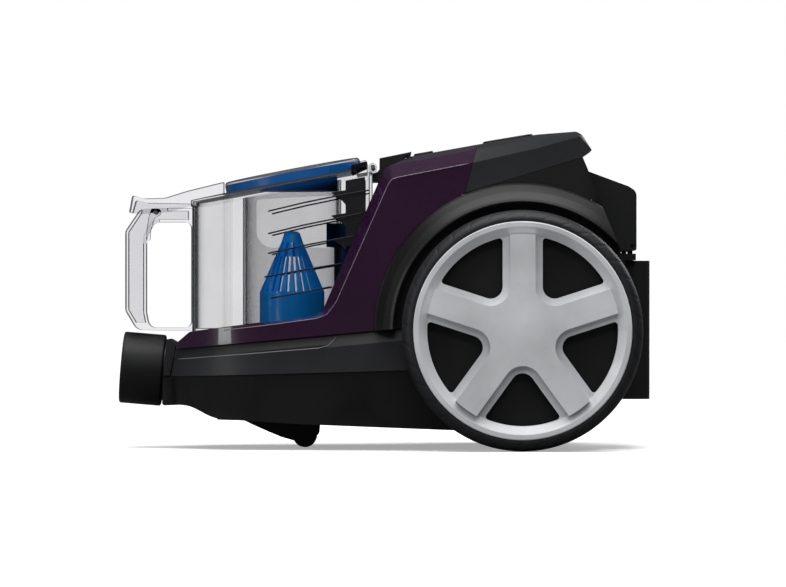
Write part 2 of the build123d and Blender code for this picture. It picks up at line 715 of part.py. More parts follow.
def tyre():
    """Soft tread ring with rounded shoulders and slanted cuts."""
    w = tyre_width
    ring = rim_turned([
        (rim_radius - 0.9, 1.6), (rim_radius + 4, 0.3), (wheel_radius, 3.5), (wheel_radius, w - 7.0),
        (wheel_radius - 3.6, w - 1.8), (rim_radius + 1.5, w - 0.6), (rim_radius - 0.9, w - 2.1),
    ], [0.3, 2.0, 4.0, 5.0, 3.0, 0.8, 0.3])
    return ring


def wheel_backplate():
    plate = tube(rim_radius - 4.5, axle_radius + 6.1, wheel_inner + 8.0, wheel_inner + 10.0, wheel_x, axle_z)
    return plate


def stub_axle():
    shaft = tube(axle_radius, 0, axle_boss_inner - 5, wheel_inner + tyre_width - 8.5, wheel_x, axle_z)
    groove = tube(axle_radius + 1, axle_radius - 1, axle_boss_inner - 3.4, axle_boss_inner - 2.2, wheel_x, axle_z)
    return shaft - groove


def axle_bush():
    bore, end = axle_radius + running_gap, body_half + 2.0
    bush = tube(bush_radius - 0.05, bore, axle_boss_inner, end, wheel_x, axle_z)
    return bush + tube(bush_radius + 4, bore, end - 1.5, end, wheel_x, axle_z)


pair("wheel_rim", wheel_rim())
pair("tyre", tyre())
pair("wheel_backplate", wheel_backplate())
pair("stub_axle", stub_axle())
pair("axle_bush", axle_bush())


# ---------------------------------------------------------------- caster
roller_x = caster_x + caster_trail


def caster_arm():
    """Trailing pod on a vertical stem, open under the roller."""
    body = side_prism([
        (caster_x - 16, 21.4), (caster_x - 8, 17.5), (caster_x + 2, 13.0), (caster_x + 14, 8.0),
        (roller_x - 6, 4.6), (roller_x + 5, 5.0), (roller_x + 11, 10.5), (roller_x + 12, 21.4),
    ], -12.0, 12.0, [0, 6, 8, 8, 4, 4, 4, 0])
    plate = upright(caster_trail + 4, 0, 21.3, 23.4, caster_x, 0)
    arm = body + plate
    arm += upright(axle_radius, 0, 20, caster_pocket_top + 15.5, caster_x, 0)
    side = roller_width / 2 + 0.4
    arm -= block(roller_x - roller_radius - 0.8, roller_x + 30, -side, side, -5, 21.3)
    arm -= tube(roller_radius + 0.8, 0, -side, side, roller_x, roller_radius)
    return arm - tube(2.05, 0, -10.5, 10.5, roller_x, roller_radius)


def caster_roller():
    half = roller_width / 2
    roller = tube(roller_radius, 2.02, -half, half, roller_x, roller_radius)
    rims = [e for e in roller.edges() if abs(e.length - 2 * math.pi * roller_radius) < 0.5]
    return fillet(rims, 2.0)


out["caster_arm"] = caster_arm()
out["caster_roller"] = caster_roller()
out["caster_axle"] = tube(2.0, 0, -10.4, 10.4, roller_x, roller_radius)
out["caster_bush"] = upright(caster_bush_radius - 0.05, axle_radius + running_gap, caster_pocket_top - 0.3,
                             caster_pocket_top + 15.9, caster_x, 0)


# ---------------------------------------------------------------- dust bucket
def bucket_shell():
    """Clear bucket with its sloping rim and the lugs of the lid's hinge."""
    below = slab(-300, 0)
    shell = bucket_prism(bucket_floor, 260) - bucket_prism(bucket_floor + bucket_wall, 300, bucket_wall)
    shell &= below
    shell -= upright(outlet_radius, 0, 50, 120, cyclone_x, 0)
    shell -= upright(duct_radius - duct_wall, 0, 50, 120, riser_x, riser_y)
    lugs = side_prism([
        (bucket_rear - bucket_wall, 205), (bucket_rear - bucket_wall, 210.5), (hinge_x - 3.2, hinge_z),
        (hinge_x, hinge_z + 3.2), (-4.6, hinge_z + 1.0), (-4.6, 208.5), (bucket_rear, 205),
    ], -46, 46) & (block(-20, 5, 39, 45, 200, 230) + block(-20, 5, -45, -39, 200, 230))
    shell += lugs
    return shell - tube(hinge_pin + 0.02, 0, -60, 60, hinge_x, hinge_z)


HANDLE = [
    (bucket_front, 89.6, 0), (-189.5, 90.4, 8), (-198.3, 105.4, 6), (-198.3, 166.5, 6), (-187.0, 183.2, 5),
    (-174.0, 184.4, 3), (bucket_front, 184.4, 0),
]
GRIP_HOLE = [
    (-147.5, 92.2, 5), (-180.0, 92.2, 6), (-182.4, 104.0, 6), (-182.4, 162.0, 10), (-176.0, 173.5, 6),
    (-147.5, 173.5, 5),
]


def bucket_handle():
    """Loop handle on the bucket's front: a clear channel, open at its top for the trigger."""
    def outline(rows, half):
        return side_prism([(x, z) for x, z, r in rows], -half, half, [r for x, z, r in rows])

    loop = outline(HANDLE, handle_half) - outline(GRIP_HOLE, handle_half + 2)
    inner = outline(inset_outline(HANDLE, 2.2), handle_half - 2.2)
    inner -= outline(inset_outline(GRIP_HOLE, -2.2), handle_half)
    loop -= inner & block(-300, bucket_front - 4, -50, 50, 96, 300)
    loop -= block(-186.0, -166.0, -handle_half + 2.2, handle_half - 2.2, 176.0, 190.0)
    # slot through which the trigger reaches the fingers
    loop -= block(-187.0, -172.5, -trigger_half - 0.4, trigger_half + 0.4, 157.0, 180.0)
    loop -= bucket_prism(50, 300, -0.05)
    return loop - tube(hinge_pin + 0.02, 0, -60, 60, trigger_x, trigger_z)


def hinge_cover():
    """Black wedge on the bucket's rear that runs over the lid's hinge and onto the deck."""
    return side_prism([
        (bucket_rear + 0.05, 204.5), (bucket_rear + 0.05, 210.4), (-4.2, 211.4), (-2.5, 213.5), (-2.5, 222.0),
        (22.0, 227.0), (21.5, 224.8), (17.5, 223.8), (6.0, 210.0), (2.0, 204.5),
    ], -38.5, 38.5)


def inlet_box(width, height, reach):
    """A box from the riser's axis to the cyclone, across the inlet's direction."""
    turn = math.radians(inlet_turn)
    aim_x = cyclone_x + cyclone_radius * math.cos(turn)
    aim_y = cyclone_radius * math.sin(turn)
    heading = math.degrees(math.atan2(aim_y - riser_y, aim_x - riser_x))
    start = Pos(riser_x, riser_y, inlet_low + inlet_rise / 2) * Rot(0, 0, heading)
    return start * Pos(reach / 2, 0, 0) * Box(reach, width, height)


def inlet_passage():
    """The way from the riser into the cyclone."""
    return inlet_box(inlet_width, inlet_rise, math.hypot(riser_x - cyclone_x, riser_y) - cyclone_radius + 22)


def cyclone_wall():
    wall = upright(cyclone_radius, cyclone_radius - 2, bucket_floor + bucket_wall, 260, cyclone_x, 0)
    wall &= slab(-300, -0.3)
    window = side_prism([(-97, 153.6), (-97, 190.5), (-36, 194.0), (-36, 153.6)], -60, 0, [13, 3, 3, 5])
    return wall - window - inlet_passage()


def vortex_cone():
    """Slotted cone over the outlet, with a plain foot and a round tip."""
    z0 = bucket_floor + bucket_wall

    def turned(inset):
        low = z0 - 1 if inset else z0
        rows = [
            (cyclone_x, low, 0), (cyclone_x + cone_radius - inset, low, 0),
            (cyclone_x + cone_radius - inset, cone_foot, 6), (cyclone_x + 8.2 - inset, cone_top - 8 - inset, 4),
            (cyclone_x + 5.6 - inset / 2, cone_top - inset, 3.6), (cyclone_x, cone_top - inset, 0),
        ]
        outline = side_face([(x, z) for x, z, r in rows], 0, [r for x, z, r in rows])
        return revolve(outline, axis=Axis((cyclone_x, 0, 0), (0, 0, 1)), revolution_arc=360)

    cone = turned(0) - turned(1.8)
    for i in range(slot_count):
        top = long_slot_top if i % 2 == 0 else short_slot_top
        turn = (i + 0.5) * 360.0 / slot_count
        blade = Rot(0, 0, turn) * block(5, 30, -slot_width / 2, slot_width / 2, cone_foot + 0.5, top)
        cone -= Pos(cyclone_x, 0, 0) * blade
    return cone


def inlet_riser():
    """Pipe from the hole in the bucket's floor up to the cyclone's inlet."""
    z0 = bucket_floor + bucket_wall
    wall = 2 * duct_wall
    reach = math.hypot(riser_x - cyclone_x, riser_y) - cyclone_radius + 12
    riser = upright(duct_radius, 0, z0, riser_top, riser_x, riser_y)
    riser += inlet_box(inlet_width + wall, inlet_rise + wall, reach)
    riser -= upright(cyclone_radius + 0.1, 0, 80, 200, cyclone_x, 0)
    riser -= upright(duct_radius - duct_wall, 0, z0 - 1, riser_top - duct_wall, riser_x, riser_y)
    return riser - inlet_passage()


def side_louvres():
    """Guide vanes in the bucket's two rear corners, one moulding on each side."""
    y1, y2 = bucket_half - bucket_wall - 10.0, bucket_half - bucket_wall - 1.8
    x1, x2 = bucket_rear - bucket_wall - 18.0, bucket_rear - bucket_wall - 3.2
    column = block(x1, x2, y1, y2, 155, 240) & slab(-300, -3)
    for z in (160.5, 178.5, 196.0):
        column += side_prism([
            (x1 + 0.2, z + 1.2), (x1 - 10.5, z - 0.6), (x1 - 10.5, z - 1.4), (x1 - 4.0, z - 4.5),
            (x1 + 0.2, z - 9.5),
        ], y1, y2, [0, 0, 0, 6, 0])
    # the left one stands over the riser
    return [column - block(-100, 0, 0, 200, 0, riser_top + 0.5), mirror_y(column)]


out["bucket_shell"] = bucket_shell()
out["bucket_handle"] = bucket_handle()
out["cyclone_wall"] = cyclone_wall()
out["vortex_cone"] = vortex_cone()
out["inlet_riser"] = inlet_riser()
out["side_louvres"] = Compound(children=[s.solid() for s in side_louvres()])
out["bucket_gasket"] = upright(gasket_radius - 0.05, gasket_radius - 3.95, tray_top - 1.45, bucket_floor - 0.05,
                               cyclone_x, 0)
out["hinge_cover"] = hinge_cover()
bucket_pins = [
    tube(hinge_pin, 0, -45, 45, hinge_x, hinge_z),
    tube(hinge_pin, 0, -handle_half + 0.2, handle_half - 0.2, trigger_x, trigger_z),
]
out["bucket_pins"] = Compound(children=[pin.solid() for pin in bucket_pins])


# ---------------------------------------------------------------- lid
def rim_normal_tube(radius, inner, low, high):
    """A ring square to the sloping rim, from low to high above it."""
    base = Vector(turret_x, 0, rim_z(turret_x))
    normal = Vector(-rim_slope, 0, 1).normalized()
    outline = Circle(radius) - Circle(inner) if inner else Circle(radius)
    plane = Plane(base + normal * low, x_dir=(0, 1, 0), z_dir=normal)
    return extrude(plane * outline, amount=high - low)


TAB = [
    (-195.2, 181.0, 0.4), (-192.8, 194.2, 1.5), (-184.0, 191.6, 12), (-168.0, 192.0, 20), (-150.0, 197.6, 30),
    (-122.6, 204.3, 0), (-122.6, 193.0, 0), (-147.0, 187.6, 8), (-165.0, 188.0, 15), (-181.5, 188.2, 10),
    (-190.2, 190.4, 1.5), (-192.9, 180.8, 0.4),
]
TAB_SKIRT = [
    (-195.0, 180.4), (-192.0, 192.0), (-183.0, 190.8), (-165.0, 191.4), (-147.0, 196.5), (-147.0, 186.2),
    (-165.0, 181.5), (-186.0, 179.8),
]


def lid_plate():
    """Lid with the tab over the handle, the upstands by its hinge and the hinge's knuckles."""
    whole = bucket_prism(150, 260, -1.0) & block(-400, bucket_rear - 4.0, -200, 200, 100, 300)
    hollow = bucket_prism(150, 260, 3.0) & block(-400, bucket_rear - 12.0, -200, 200, 100, 300)
    plate = whole & slab(lid_gap, lid_gap + lid_thick)
    plate -= hollow & slab(lid_gap, lid_gap + lid_thick - 2.2)
    skirt_half = handle_half + 2.4
    plate += side_prism([(x, z) for x, z, r in TAB], -skirt_half, skirt_half, [r for x, z, r in TAB])
    skirt = side_prism(TAB_SKIRT, -skirt_half, skirt_half)
    plate += skirt - block(-300, 0, -handle_half - 0.6, handle_half + 0.6, 100, 300)
    for y in (-66.0, 50.0):
        plate += side_prism([(-40.6, 208.5), (-40.6, 214.4), (-12.5, 220.1), (-12.5, 213.5)], y, y + 16.0)
    foot = rim_z(bucket_rear - 5.0)
    knuckle = side_prism([
        (bucket_rear - 5.0, foot + 0.6), (bucket_rear - 5.0, foot + 4.4), (hinge_x - 1.5, hinge_z + 2.8),
        (hinge_x, hinge_z + 3.0), (hinge_x + 2.9, hinge_z + 1.0), (hinge_x + 2.6, hinge_z - 1.8),
        (hinge_x, hinge_z - 3.0),
    ], -38.6, 38.6)
    plate += knuckle - block(-20, 10, -29, 29, 190, 230)
    return plate - tube(hinge_pin + 0.03, 0, -60, 60, hinge_x, hinge_z)


def cyclone_cap():
    cup = upright(cyclone_radius - 3.0, 0, cap_low, 230, cyclone_x, 0) & slab(-300, lid_gap + lid_thick - 2.3)
    cup -= upright(cyclone_radius - 5.0, 0, cap_low + 2, 230, cyclone_x, 0)
    return cup


out["lid_plate"] = lid_plate()
out["lid_ring"] = rim_normal_tube(lid_radius, lid_radius - 3, lid_gap + lid_thick, 11.5)
window = rim_normal_tube(lid_radius - 0.3, 0, 11.5, 14.0)
out["lid_window"] = chamfer(window.faces().sort_by(Axis.Z)[-1].edges(), 1.2)
out["cyclone_cap"] = cyclone_cap()


def lid_trigger():
    """Finger lever in the handle's upper corner that frees the lid."""
    lever = side_prism([
        (-178.5, 184.0), (-171.5, 184.0), (-171.5, 179.5), (-176.2, 176.5), (-178.9, 168.0), (-179.6, 159.5),
        (-182.2, 159.5), (-182.2, 168.0), (-180.4, 178.0),
    ], -trigger_half, trigger_half, [2, 2, 2, 3, 6, 0.6, 0.6, 6, 3])
    return lever - tube(hinge_pin + 0.03, 0, -60, 60, trigger_x, trigger_z)


out["lid_trigger"] = lid_trigger()


# ---------------------------------------------------------------- buttons and their springs
def release_button():
    x1, x2 = release_x
    top = deck_z((x1 + x2) / 2) + release_proud
    cap = release_slot(0, release_low, top + 4)
    cut = side_prism([
        (x1 - 5, deck_z(x1 - 5) + release_proud), (x2 + 5, deck_z(x2 + 5) + release_proud),
        (x2 + 5, 300), (x1 - 5, 300),
    ], -50, 50)
    cap -= cut
    crown = [e for e in cap.faces().sort_by(Axis.Z)[-1].edges()]
    return fillet(crown, 1.0)


def rear_button(side):
    x1, x2 = button_x - button_length, button_x + button_length
    cap = button_prism(side, 0, button_low, 260)
    cut = side_prism([
        (x1, cover_z(x1) + button_proud), (x2, cover_z(x2) + button_proud), (x2, 300), (x1, 300),
    ], -80, 80)
    cap -= cut
    cap = fillet(cap.faces().sort_by(Axis.Z)[-1].edges(), 0.8)
    return cap - button_prism(side, -2.0, button_low - 1, button_low + 4.0)


def spring(x, y, z_low, z_high, radius=3.4, wire=0.35):
    """Compression spring of round wire with five turns."""
    height = z_high - z_low - 2 * wire - 0.1
    path = Pos(x, y, z_low + wire + 0.05) * Helix(pitch=height / 5, height=height, radius=radius)
    return sweep(Plane(path @ 0, z_dir=path % 0) * Circle(wire), path=path, transition=Transition.RIGHT)


out["release_button"] = release_button()
out["power_button"] = rear_button(-1)
out["rewind_button"] = rear_button(1)
release_mid = sum(release_x) / 2
out["release_spring"] = spring(release_mid, 0, release_seat, release_low)
out["power_spring"] = spring(button_x, -button_y, button_seat, button_low + 4.0)
out["rewind_spring"] = spring(button_x, button_y, button_seat, button_low + 4.0)


# ---------------------------------------------------------------- motor, filter, reel and board
def motor_casing():
    x1, x2 = motor_x
    shell = along_x(motor_radius, 0, x1, x2, 0, motor_z)
    shell -= along_x(motor_radius - 2, 0, x1 + 2, x2 - 2, 0, motor_z)
    shell += along_x(9, 0, x1, x1 + 4, 0, motor_z) + along_x(9, 0, x2 - 6, x2, 0, motor_z)
    intake = along_x(24, 9, x1 - 1, x1 + 2.5, 0, motor_z)
    for turn in (0, 60, 120):
        intake -= Pos(x1, 0, motor_z) * Rot(turn, 0, 0) * Box(12, 60, 3)
    shell -= intake
    for i in range(8):
        hole = Pos(0, 32 * math.cos(i * math.pi / 4), 32 * math.sin(i * math.pi / 4))
        shell -= hole * along_x(7, 0, x2 - 3, x2 + 1, 0, motor_z)
    return shell - along_x(shaft_radius + running_gap, 0, x1 - 1, x2 + 1, 0, motor_z)


def impeller():
    """Fan wheel: two discs with curved blades between them."""
    x1 = motor_x[0] + 5.0
    r = motor_radius - 5.0
    fan = along_x(r, 18, x1, x1 + 1.5, 0, motor_z) + along_x(r, 0, x1 + 10, x1 + 11.5, 0, motor_z)
    fan += along_x(9, 0, x1 + 4, x1 + 12, 0, motor_z)
    for i in range(9):
        blade = Pos(x1 + 5.75, 0, motor_z) * Rot(i * 40, 0, 0) * Pos(0, 27, 0) * Rot(25, 0, 0) * Box(9.2, 24, 1.2)
        fan += blade
    return fan - along_x(shaft_radius, 0, x1 - 5, x1 + 20, 0, motor_z)


def motor_mounts():
    ring = along_x(motor_radius + mount_thick - 0.1, motor_radius + 0.05, 0, motor_mount_width, 0, motor_z)
    return [Pos(x, 0, 0) * ring for x in motor_mount_x]


def reel_frame():
    """Two side plates with the fixed spindle of the cord reel."""
    frame = tube(spindle_radius, 0, -reel_half - 5, reel_half + 5, reel_x, reel_z)
    for side in (-1, 1):
        y1, y2 = sorted((side * (reel_half + 2.5), side * (reel_half + 5)))
        frame += side_prism([
            (92, 60), (150, 60), (150, 72), (reel_x + 18, reel_z), (reel_x + 18, board_z),
            (reel_x - 18, board_z), (reel_x - 18, reel_z), (92, 72),
        ], y1, y2, [0, 0, 6, 12, 2, 2, 12, 6])
    return frame + block(92, 150, -reel_half - 5, reel_half + 5, 58, 60.5)


def cord_reel():
    drum = tube(reel_radius, 0, -reel_half, reel_half, reel_x, reel_z)
    drum -= tube(reel_radius + 1, 20, -reel_half + 2, reel_half - 2, reel_x, reel_z)
    for i in range(6):
        place = Pos(30 * math.cos(i * math.pi / 3), 0, 30 * math.sin(i * math.pi / 3))
        drum -= place * tube(7, 0, -reel_half - 1, reel_half + 1, reel_x, reel_z)
    drum -= tube(18, 10, -reel_half - 1, reel_half - 4, reel_x, reel_z)
    return drum - tube(spindle_radius + running_gap, 0, -reel_half - 1, reel_half + 1, reel_x, reel_z)


def control_board():
    board = block(88, 146, -36, 36, board_z + 0.1, board_z + 1.7)
    for x, y, w, d, h in ((98, -22, 14, 16, 7), (98, 22, 14, 16, 7), (124, 0, 12, 20, 5), (138, -20, 8, 12, 6)):
        board += block(x - w / 2, x + w / 2, y - d / 2, y + d / 2, board_z + 1.7, board_z + 1.7 + h)
    return board


def exhaust_door():
    """Box-shaped cover over the exhaust filter, hinged at its foot."""
    x_hinge, z_hinge = door_hinge
    outer = [
        (rear_edge_x(211.5) + 0.8, 211.5, 0), (187.0, 200.0, 8), (door_rear, 196.0, 6), (door_rear, 151.0, 2),
        (rear_edge_x(151.0) + 0.8, 151.0, 0),
    ]

    def outline(rows, half):
        return side_prism([(x, z) for x, z, r in rows], -half, half, [r for x, z, r in rows])

    box = outline(outer, exhaust_half)
    hollow = [
        (rear_edge_x(209.0) - 2, 209.0, 0), (186.0, 197.9, 6), (door_rear - 2.4, 194.5, 4), (door_rear - 2.4, 153.4, 1),
        (rear_edge_x(153.4) - 2, 153.4, 0),
    ]
    box -= outline(hollow, exhaust_half - 2.4)
    for i in range(7):
        z = 160 + 5.0 * i
        box -= block(door_rear - 5, door_rear + 5, -48, 48, z, z + 2.4)
    box -= block(x_hinge - 60, x_hinge + 0.6, -60, 60, 150.5, 153.5)
    for side in (-1, 1):
        y1, y2 = sorted((side * 53.5, side * 61.4))
        box -= block(x_hinge - 60, x_hinge + 10, y1, y2, 150.5, z_hinge + 6.5)
    for side in (-1, 1):
        y1, y2 = sorted((side * 62, side * 67))
        box += tube(3.2, 0, y1, y2, x_hinge, z_hinge)
    return box - tube(1.53, 0, -80, 80, x_hinge, z_hinge)


def door_hinge_pins():
    """Hinge pins of the exhaust door on brackets that stand on the ledge."""
    x, z = door_hinge
    pins = []
    for side in (-1, 1):
        y1, y2 = sorted((side * 55.0, side * 68.5))
        b1, b2 = sorted((side * 55.0, side * 60.5))
        pin = tube(1.5, 0, y1, y2, x, z)
        pin += side_prism([(x - 3, 148.8), (x + 0.8, 148.8), (x + 0.8, z + 2), (x - 3, z + 2)], b1, b2)
        pins.append(pin)
    return pins


def exhaust_filter():
    pad = side_prism([(171.5, 158), (157.5, 193.5), (149.5, 190.3), (163.5, 154.8)], -60, 60)
    return pad


out["motor_casing"] = motor_casing()
out["motor_stator"] = along_x(32, 20, motor_x[0] + 30, motor_x[0] + 60, 0, motor_z)
out["motor_shaft"] = along_x(shaft_radius, 0, motor_x[0] + 1, motor_x[1] - 1, 0, motor_z) \
    + along_x(17, 0, motor_x[0] + 32, motor_x[0] + 58, 0, motor_z)
out["impeller"] = impeller()
out["motor_mounts"] = Compound(children=[m.solid() for m in motor_mounts()])
out["motor_filter"] = upright(filter_radius, 0, filter_low, tray_top - 3, cyclone_x, 0)
out["reel_frame"] = reel_frame()
out["cord_reel"] = cord_reel()
out["control_board"] = control_board()
out["exhaust_door"] = exhaust_door()
out["door_hinge_pins"] = Compound(children=[p.solid() for p in door_hinge_pins()])
out["exhaust_filter"] = exhaust_filter()

os.makedirs("parts", exist_ok=True)
for name, shape in out.items():
    export_step(shape, f"parts/{name}.step")
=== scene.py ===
import bpy
import json
import math
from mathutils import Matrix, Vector
from mathutils.bvhtree import BVHTree


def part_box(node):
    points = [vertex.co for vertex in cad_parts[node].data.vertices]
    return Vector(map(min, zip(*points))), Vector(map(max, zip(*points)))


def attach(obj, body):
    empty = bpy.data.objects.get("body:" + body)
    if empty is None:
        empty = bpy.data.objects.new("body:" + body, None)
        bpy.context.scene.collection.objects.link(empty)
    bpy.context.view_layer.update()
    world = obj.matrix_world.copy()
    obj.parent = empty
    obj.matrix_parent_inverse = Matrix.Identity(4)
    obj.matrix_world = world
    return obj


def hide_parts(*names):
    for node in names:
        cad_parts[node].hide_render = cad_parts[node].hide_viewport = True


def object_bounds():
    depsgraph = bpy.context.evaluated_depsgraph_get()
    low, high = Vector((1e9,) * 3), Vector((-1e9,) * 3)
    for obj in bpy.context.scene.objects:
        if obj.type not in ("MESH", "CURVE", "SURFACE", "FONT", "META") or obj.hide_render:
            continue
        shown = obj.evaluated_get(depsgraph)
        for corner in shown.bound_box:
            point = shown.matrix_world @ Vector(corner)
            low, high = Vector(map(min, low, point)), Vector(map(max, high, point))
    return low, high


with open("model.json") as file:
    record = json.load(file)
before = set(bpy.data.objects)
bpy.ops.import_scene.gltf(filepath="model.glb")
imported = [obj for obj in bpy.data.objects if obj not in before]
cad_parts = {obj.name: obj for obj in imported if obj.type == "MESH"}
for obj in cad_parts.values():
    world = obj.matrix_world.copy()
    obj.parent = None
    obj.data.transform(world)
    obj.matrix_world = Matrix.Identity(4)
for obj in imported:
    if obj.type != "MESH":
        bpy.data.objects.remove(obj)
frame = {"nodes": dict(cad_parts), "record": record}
cad_low, cad_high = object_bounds()

# ---------------------------------------------------------------- camera
# Level long-lens view of the machine's right side, aimed at its middle height. A long lens far away
# keeps the near and the far wheel almost the same size.
CAMERA_DISTANCE = 4.437
CAMERA_HEIGHT = 0.1185
camera = bpy.data.objects.new("side_camera", bpy.data.cameras.new("side_camera"))
camera.data.lens = 263.2
camera.data.sensor_width = 36.0
camera.data.clip_end = 50.0
camera.location = (0.0079, -CAMERA_DISTANCE, CAMERA_HEIGHT)
camera.rotation_euler = (math.radians(90), 0, 0)
bpy.context.scene.collection.objects.link(camera)
bpy.context.scene.camera = camera
bpy.context.scene.view_settings.view_transform = "Standard"

# ---------------------------------------------------------------- floor and lights
# A white studio floor under a broad overhead light, which leaves only a soft shadow under the machine.
# Long softboxes give the gloss parts their bright edges, and the rest of the room is dark.
floor_mesh = bpy.data.meshes.new("studio_floor")
FLOOR_CORNERS = [(-6, -3, 0), (6, -3, 0), (6, 9, 0), (-6, 9, 0)]
floor_mesh.from_pydata(FLOOR_CORNERS, [], [(0, 1, 2, 3)])
studio_floor = bpy.data.objects.new("studio_floor", floor_mesh)
bpy.context.scene.collection.objects.link(studio_floor)
FLOOR_GAP = 0.0003
studio_floor.location.z = cad_low.z - FLOOR_GAP
floor_paint = bpy.data.materials.new("floor_paint")
floor_paint.use_nodes = True
floor_nodes = floor_paint.node_tree.nodes
floor_shader = floor_nodes["Principled BSDF"]
floor_shader.inputs["Base Color"].default_value = (0.9, 0.9, 0.91, 1)
floor_shader.inputs["Roughness"].default_value = 0.7
floor_shader.inputs["Specular IOR Level"].default_value = 0.05
floor_shader.inputs["Emission Color"].default_value = (1, 1, 1, 1)
floor_shader.inputs["Emission Strength"].default_value = 0.36
dim_floor = floor_nodes.new("ShaderNodeBsdfDiffuse")
dim_floor.inputs["Color"].default_value = (0.16, 0.16, 0.165, 1)
floor_sight = floor_nodes.new("ShaderNodeLightPath")
floor_choice = floor_nodes.new("ShaderNodeMixShader")
floor_links = floor_paint.node_tree.links
floor_links.new(floor_sight.outputs["Is Camera Ray"], floor_choice.inputs[0])
floor_links.new(dim_floor.outputs[0], floor_choice.inputs[1])
floor_links.new(floor_shader.outputs[0], floor_choice.inputs[2])
floor_links.new(floor_choice.outputs[0], floor_nodes["Material Output"].inputs[0])
floor_mesh.materials.append(floor_paint)

sky = bpy.data.worlds.new("studio")
bpy.context.scene.world = sky
sky.use_nodes = True
sky_nodes = sky.node_tree.nodes
sky_links = sky.node_tree.links
backdrop = sky_nodes["Background"]
backdrop.inputs["Color"].default_value = (1, 1, 1, 1)
backdrop.inputs["Strength"].default_value = 1.0
room = sky_nodes.new("ShaderNodeBackground")
room.inputs["Color"].default_value = (0.86, 0.92, 1.0, 1)
room.inputs["Strength"].default_value = 0.07
sight = sky_nodes.new("ShaderNodeLightPath")
choice = sky_nodes.new("ShaderNodeMixShader")
sky_links.new(sight.outputs["Is Camera Ray"], choice.inputs[0])
sky_links.new(room.outputs[0], choice.inputs[1])
sky_links.new(backdrop.outputs[0], choice.inputs[2])
sky_links.new(choice.outputs[0], sky_nodes["World Output"].inputs[0])


def sun(name, strength, spread, turn):
    lamp = bpy.data.lights.new(name, "SUN")
    lamp.energy = strength
    lamp.angle = math.radians(spread)
    thing = bpy.data.objects.new(name, lamp)
    thing.rotation_euler = [math.radians(a) for a in turn]
    bpy.context.scene.collection.objects.link(thing)


def softbox(name, power, size, place, target, colour=(1, 1, 1)):
    lamp = bpy.data.lights.new(name, "AREA")
    lamp.shape = "RECTANGLE"
    lamp.size, lamp.size_y = size
    lamp.energy = power
    lamp.color = colour
    thing = bpy.data.objects.new(name, lamp)
    thing.location = place
    thing.rotation_euler = (Vector(target) - Vector(place)).to_track_quat("-Z", "Y").to_euler()
    bpy.context.scene.collection.objects.link(thing)


sun("overhead_light", 2.6, 70, (8, 0, 0))
softbox("top_softbox", 10, (1.6, 0.4), (0.0, -0.5, 1.5), (0, 0, 0.1))
softbox("front_left_softbox", 7, (0.4, 0.9), (-1.6, -1.2, 0.5), (0, 0, 0.12))
softbox("side_softbox", 9, (1.8, 0.3), (0.1, -2.3, 1.3), (0.05, -0.1, 0.1))
softbox("rear_softbox", 9, (0.8, 0.8), (1.2, 1.4, 1.0), (0, 0, 0.1))


# ---------------------------------------------------------------- floor pan
# The lower tub: one black polypropylene moulding with a fine spark-eroded grain, which takes the
# caster, the motor's cradles and the screw posts. Its corners are worn a little brighter.
def textured(name, colour, spread=0.14, size=0.045, detail=4.0):
    """A material whose colour drifts a little; gives the material, its shader, its place and its tint."""
    paint = bpy.data.materials.new(name)
    paint.use_nodes = True
    nodes, links = paint.node_tree.nodes, paint.node_tree.links
    shader = nodes["Principled BSDF"]
    place = nodes.new("ShaderNodeTexCoord")
    flow = nodes.new("ShaderNodeTexNoise")
    flow.inputs["Scale"].default_value = 1.0 / size
    flow.inputs["Detail"].default_value = detail
    links.new(place.outputs["Object"], flow.inputs["Vector"])
    tint = nodes.new("ShaderNodeValToRGB")
    for end, position, factor in ((0, 0.32, 1 - spread), (1, 0.68, 1 + spread)):
        tint.color_ramp.elements[end].position = position
        tint.color_ramp.elements[end].color = [min(c * factor, 1) for c in colour] + [1]
    links.new(flow.outputs["Fac"], tint.inputs["Fac"])
    links.new(tint.outputs["Color"], shader.inputs["Base Color"])
    return paint, shader, place.outputs["Object"], tint.outputs["Color"]


def grained(paint, shader, place, roughness, depth, size, swing=0.18):
    """Fine grain: a noise that moves the roughness and the surface."""
    nodes, links = paint.node_tree.nodes, paint.node_tree.links
    skin = nodes.new("ShaderNodeTexNoise")
    skin.inputs["Scale"].default_value = 1.0 / size
    skin.inputs["Detail"].default_value = 3.0
    links.new(place, skin.inputs["Vector"])
    rough = nodes.new("ShaderNodeMapRange")
    rough.inputs["To Min"].default_value = roughness * (1 - swing)
    rough.inputs["To Max"].default_value = min(roughness * (1 + swing), 1)
    links.new(skin.outputs["Fac"], rough.inputs["Value"])
    links.new(rough.outputs["Result"], shader.inputs["Roughness"])
    bump = nodes.new("ShaderNodeBump")
    bump.inputs["Distance"].default_value = depth
    links.new(skin.outputs["Fac"], bump.inputs["Height"])
    links.new(bump.outputs["Normal"], shader.inputs["Normal"])


